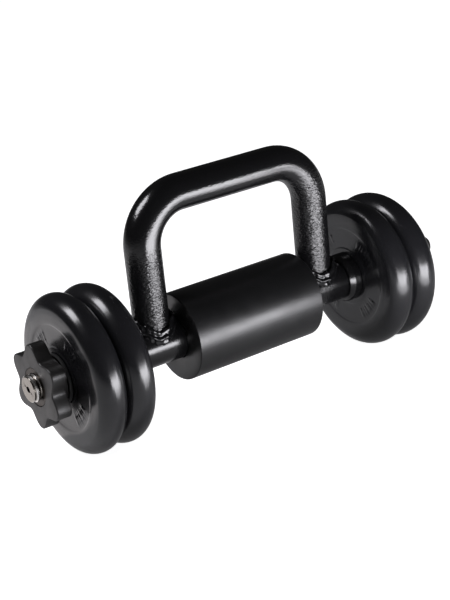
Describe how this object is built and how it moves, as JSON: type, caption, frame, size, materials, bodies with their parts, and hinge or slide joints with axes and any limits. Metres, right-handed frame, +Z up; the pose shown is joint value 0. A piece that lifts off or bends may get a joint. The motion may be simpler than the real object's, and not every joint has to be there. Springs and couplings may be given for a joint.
{
  "type": "kettlebell",
  "caption": "Plate-loaded kettlebell: bent tube handle welded over a centre weight, with round vinyl plates held on the threaded bar by lobed star nuts.",
  "frame": {"origin": "on the floor under the middle of the bar, with the plates standing on the floor", "axes": "+X along the bar, +Z up from the floor through the handle"},
  "size_m": [0.456, 0.15, 0.2289],
  "materials": {
    "bright_bar": "gloss",
    "black_paint": "satin",
    "hammer_coat": "satin",
    "weld_paint": "gloss",
    "vinyl": "satin",
    "cement": "matte",
    "plug_plastic": "matte",
    "nut_plastic": "satin",
    "insert_steel": "satin",
    "washer_rubber": "matte"
  },
  "bodies": {
    "root": {"threaded_bar": "bright_bar", "bar_sleeve": "black_paint", "centre_weight": "black_paint", "left_stop_collar": "black_paint", "right_stop_collar": "black_paint", "handle_tube": "hammer_coat", "left_handle_weld": "weld_paint", "right_handle_weld": "weld_paint"},
    "left_inner_plate": {"left_inner_plate_shell": "vinyl", "left_inner_plate_fill": "cement", "left_inner_plate_plug": "plug_plastic"},
    "left_outer_plate": {"left_outer_plate_shell": "vinyl", "left_outer_plate_fill": "cement", "left_outer_plate_plug": "plug_plastic"},
    "left_washer": {"left_nut_washer": "washer_rubber"},
    "left_star_nut": {"left_star_nut_body": "nut_plastic", "left_nut_insert": "insert_steel"},
    "right_inner_plate": {"right_inner_plate_shell": "vinyl", "right_inner_plate_fill": "cement", "right_inner_plate_plug": "plug_plastic"},
    "right_outer_plate": {"right_outer_plate_shell": "vinyl", "right_outer_plate_fill": "cement", "right_outer_plate_plug": "plug_plastic"},
    "right_washer": {"right_nut_washer": "washer_rubber"},
    "right_star_nut": {"right_star_nut_body": "nut_plastic", "right_nut_insert": "insert_steel"}
  },
  "joints": [
    {"name": "left_inner_plate_spin", "type": "hinge", "parent": "root", "child": "left_inner_plate", "pos_m": [0, 0, 0.075], "axis": [1, 0, 0], "continuous": true},
    {"name": "left_outer_plate_spin", "type": "hinge", "parent": "root", "child": "left_outer_plate", "pos_m": [0, 0, 0.075], "axis": [1, 0, 0], "continuous": true},
    {"name": "left_nut_travel", "type": "slide", "parent": "root", "child": "left_washer", "axis": [-1, 0, 0], "range_m": [0, 0.02]},
    {"name": "left_nut_turn", "type": "hinge", "parent": "left_washer", "child": "left_star_nut", "pos_m": [0, 0, 0.075], "axis": [-1, 0, 0], "range_deg": [0, 1440]},
    {"name": "right_inner_plate_spin", "type": "hinge", "parent": "root", "child": "right_inner_plate", "pos_m": [0, 0, 0.075], "axis": [1, 0, 0], "continuous": true},
    {"name": "right_outer_plate_spin", "type": "hinge", "parent": "root", "child": "right_outer_plate", "pos_m": [0, 0, 0.075], "axis": [1, 0, 0], "continuous": true},
    {"name": "right_nut_travel", "type": "slide", "parent": "root", "child": "right_washer", "axis": [1, 0, 0], "range_m": [0, 0.02]},
    {"name": "right_nut_turn", "type": "hinge", "parent": "right_washer", "child": "right_star_nut", "pos_m": [0, 0, 0.075], "axis": [1, 0, 0], "range_deg": [0, 1440]}
  ],
  "couplings": [
    {"joint": "left_nut_travel", "follows": "left_nut_turn", "m_per_rad": 0.00079577},
    {"joint": "right_nut_travel", "follows": "right_nut_turn", "m_per_rad": 0.00079577}
  ]
}
